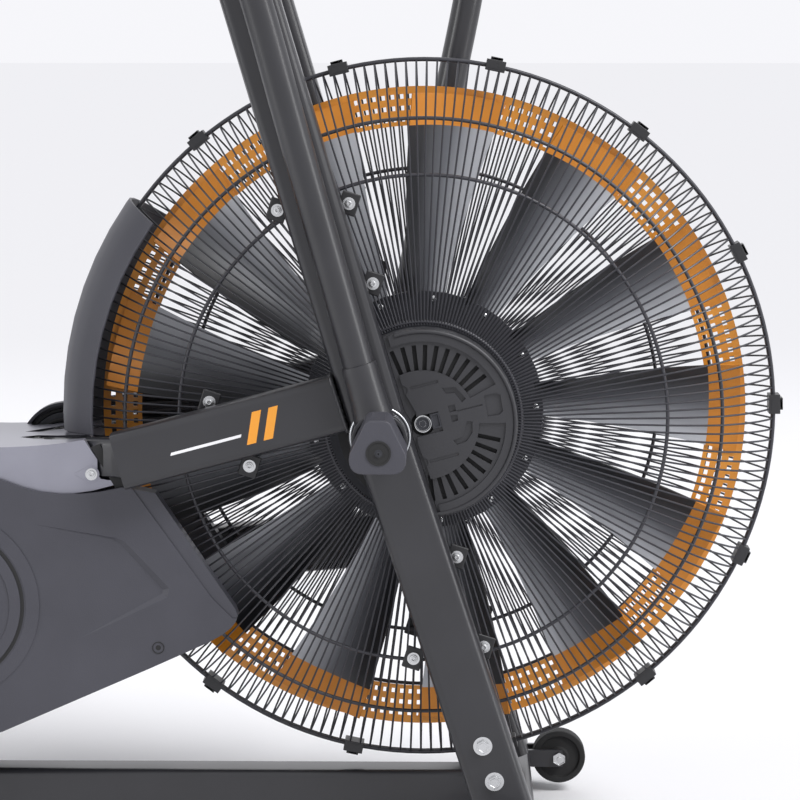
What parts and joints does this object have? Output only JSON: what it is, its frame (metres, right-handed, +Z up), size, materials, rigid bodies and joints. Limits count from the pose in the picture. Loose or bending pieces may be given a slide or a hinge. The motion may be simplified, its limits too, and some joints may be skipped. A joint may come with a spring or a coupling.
{
  "type": "dual-action air bike",
  "caption": "Upright exercise bike whose load is a large fan in a round wire cage, with swinging hand levers, pedals, foot pegs, saddle and console on a welded tube frame.",
  "frame": {"origin": "on the floor, at the middle of the bike's footprint", "axes": "+X forward (the fan end), +Y to the rider's left, +Z up"},
  "size_m": [1.268, 0.678, 1.3415],
  "materials": {
    "frame_coat": "satin charcoal powder coat",
    "shroud_plastic": "fine-textured moulded plastic",
    "black_plastic": "textured black plastic",
    "wire_coat": "satin dark powder coat",
    "fan_coat": "satin dark grey coat",
    "orange_coat": "satin orange coat",
    "silver_coat": "satin silver grey",
    "steel": "brushed",
    "rubber": "matte",
    "grip_foam": "closed-cell foam",
    "pad_cover": "grained synthetic leather"
  },
  "bodies": {
    "frame": {"belt_cover_left": "shroud_plastic", "collar_cover": "silver_coat", "console": "black_plastic", "console_mast": "frame_coat", "crank_belt": "rubber", "fan_axle": "steel", "fan_belt": "rubber", "foot_peg_left": "shroud_plastic", "foot_peg_right": "shroud_plastic", "front_stabilizer": "frame_coat", "guard_left": "wire_coat", "guard_right": "wire_coat", "hub_cover_right": "shroud_plastic", "lower_brace_left": "frame_coat", "main_tube_left": "frame_coat", "main_tube_right": "frame_coat", "rear_fork": "frame_coat", "rear_stabilizer": "frame_coat", "seat_tube": "frame_coat", "shroud_left": "shroud_plastic", "shroud_right": "shroud_plastic", "spine_beam": "frame_coat", "upright_left": "frame_coat", "upright_right": "frame_coat", "wind_guard": "black_plastic"},
    "cranks": {"crank_axle": "steel", "crank_arm_right": "steel", "crank_arm_left": "steel", "drive_pulley": "fan_coat"},
    "pedal_right": {"pedal_right": "black_plastic"},
    "pedal_left": {"pedal_left": "black_plastic"},
    "countershaft": {"countershaft": "fan_coat"},
    "fan": {"fan_hub": "fan_coat", "fan_ring": "orange_coat", "fan_blade_01": "fan_coat", "fan_blade_02": "fan_coat", "fan_blade_03": "fan_coat", "fan_blade_04": "fan_coat", "fan_blade_05": "fan_coat", "fan_blade_06": "fan_coat", "fan_blade_07": "fan_coat", "fan_blade_08": "fan_coat", "fan_blade_09": "fan_coat", "fan_blade_10": "fan_coat", "fan_blade_11": "fan_coat", "fan_blade_12": "fan_coat", "fan_blade_13": "fan_coat"},
    "arm_right": {"arm_right": "frame_coat", "grip_right": "grip_foam"},
    "arm_left": {"arm_left": "frame_coat", "grip_left": "grip_foam"},
    "link_rod_right": {"link_rod_right": "steel"},
    "link_rod_left": {"link_rod_left": "steel"},
    "seat_post": {"seat_post": "silver_coat"},
    "seat_carriage": {"seat_slider": "frame_coat", "saddle": "pad_cover"},
    "slider_lever": {"slider_lever": "black_plastic"},
    "post_knob": {"post_knob": "black_plastic"},
    "wheel_right": {"wheel_right": "rubber"},
    "wheel_left": {"wheel_left": "rubber"}
  },
  "joints": [
    {"name": "crank_spin", "type": "hinge", "parent": "frame", "child": "cranks", "pos_m": [-0.258, 0, 0.283], "axis": [0, 1, 0], "continuous": true},
    {"name": "pedal_right_spin", "type": "hinge", "parent": "cranks", "child": "pedal_right", "pos_m": [-0.423, -0.182, 0.283], "axis": [0, 1, 0], "continuous": true},
    {"name": "pedal_left_spin", "type": "hinge", "parent": "cranks", "child": "pedal_left", "pos_m": [-0.093, 0.182, 0.283], "axis": [0, 1, 0], "continuous": true},
    {"name": "countershaft_spin", "type": "hinge", "parent": "frame", "child": "countershaft", "pos_m": [-0.15, 0.09, 0.425], "axis": [0, 1, 0], "continuous": true},
    {"name": "fan_spin", "type": "hinge", "parent": "frame", "child": "fan", "pos_m": [0.252, 0, 0.48], "axis": [0, 1, 0], "continuous": true},
    {"name": "arm_right_swing", "type": "hinge", "parent": "frame", "child": "arm_right", "pos_m": [0.208, -0.1772, 0.471], "axis": [0, 1, 0], "range_deg": [0, 27]},
    {"name": "arm_left_swing", "type": "hinge", "parent": "frame", "child": "arm_left", "pos_m": [0.208, 0.1772, 0.471], "axis": [0, 1, 0], "range_deg": [-27, 0]},
    {"name": "link_rod_right_slide", "type": "slide", "parent": "frame", "child": "link_rod_right", "axis": [0.966, 0, 0.2587], "range_m": [0, 0.0213]},
    {"name": "link_rod_left_slide", "type": "slide", "parent": "frame", "child": "link_rod_left", "axis": [0.966, 0, 0.2587], "range_m": [-0.0213, 0]},
    {"name": "seat_height", "type": "slide", "parent": "frame", "child": "seat_post", "axis": [-0.2075, 0, 0.9782], "range_m": [0, 0.2]},
    {"name": "seat_fore_aft", "type": "slide", "parent": "seat_post", "child": "seat_carriage", "axis": [1, 0, 0], "range_m": [-0.04, 0.04]},
    {"name": "slider_lever_turn", "type": "hinge", "parent": "seat_carriage", "child": "slider_lever", "pos_m": [-0.40152, -0.041, 0.78], "axis": [0, 1, 0], "range_deg": [0, 75]},
    {"name": "post_knob_pull", "type": "slide", "parent": "frame", "child": "post_knob", "axis": [0.9782, 0, 0.2075], "range_m": [0, 0.008], "stiffness_N_per_m": 1500, "springref_m": -0.004},
    {"name": "wheel_right_spin", "type": "hinge", "parent": "frame", "child": "wheel_right", "pos_m": [0.409, -0.232, 0.042], "axis": [0, 1, 0], "continuous": true},
    {"name": "wheel_left_spin", "type": "hinge", "parent": "frame", "child": "wheel_left", "pos_m": [0.409, 0.232, 0.042], "axis": [0, 1, 0], "continuous": true}
  ],
  "couplings": [
    {"joint": "countershaft_spin", "follows": "fan_spin", "ratio": 0.55},
    {"joint": "crank_spin", "follows": "fan_spin", "ratio": 0.165},
    {"joint": "arm_left_swing", "follows": "arm_right_swing", "ratio": -1},
    {"joint": "link_rod_right_slide", "follows": "arm_right_swing", "m_per_rad": 0.045},
    {"joint": "link_rod_left_slide", "follows": "arm_right_swing", "m_per_rad": -0.045}
  ]
}
